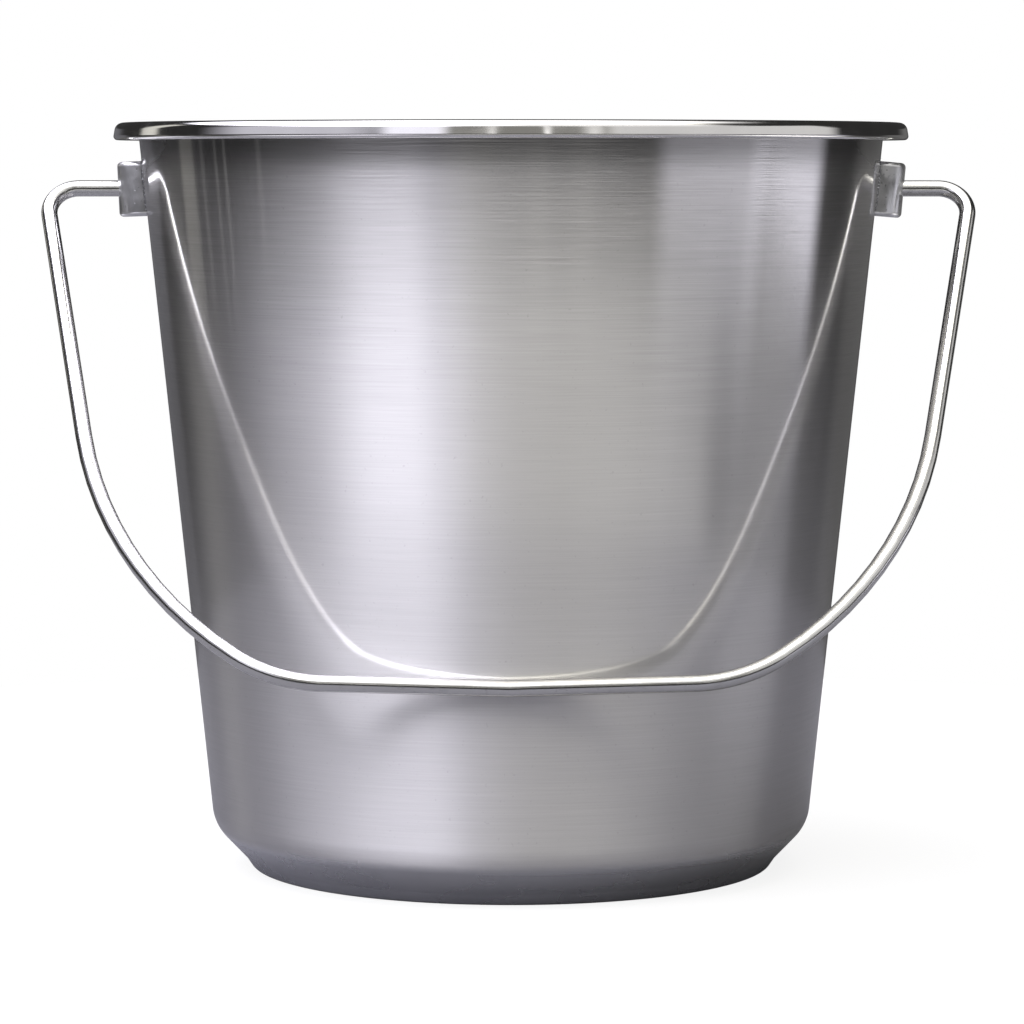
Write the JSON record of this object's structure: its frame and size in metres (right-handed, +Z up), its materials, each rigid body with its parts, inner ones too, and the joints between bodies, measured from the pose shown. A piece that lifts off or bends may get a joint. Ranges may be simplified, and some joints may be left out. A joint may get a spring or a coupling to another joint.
{
  "type": "milking pail",
  "caption": "Tapered stainless steel milking pail with a rolled rim, a stepped foot, two welded ears and a free-swinging wire bail.",
  "frame": {"origin": "centre of the flat ring that the pail stands on, at floor level", "axes": "+Z up along the pail's axis, X through the two ears with +X to the right, and -Y the front, where the bail hangs"},
  "size_m": [0.3672, 0.312, 0.2936],
  "materials": {
    "body_steel": "fine brushing round the wall, polished rolled rim, satin foot",
    "ear_steel": "satin pressed steel",
    "weld_metal": "dull weld metal with bright specks",
    "wire_steel": "bright drawn wire with fine lengthwise scuffs"
  },
  "bodies": {
    "pail": {"pail_body": "body_steel", "left_ear": "ear_steel", "right_ear": "ear_steel", "left_ear_weld": "weld_metal", "right_ear_weld": "weld_metal"},
    "bail": {"bail": "wire_steel"}
  },
  "joints": [
    {"name": "bail_swing", "type": "hinge", "parent": "pail", "child": "bail", "pos_m": [0, 0, 0.2679], "axis": [-1, 0, 0], "range_deg": [0, 289.6]}
  ]
}
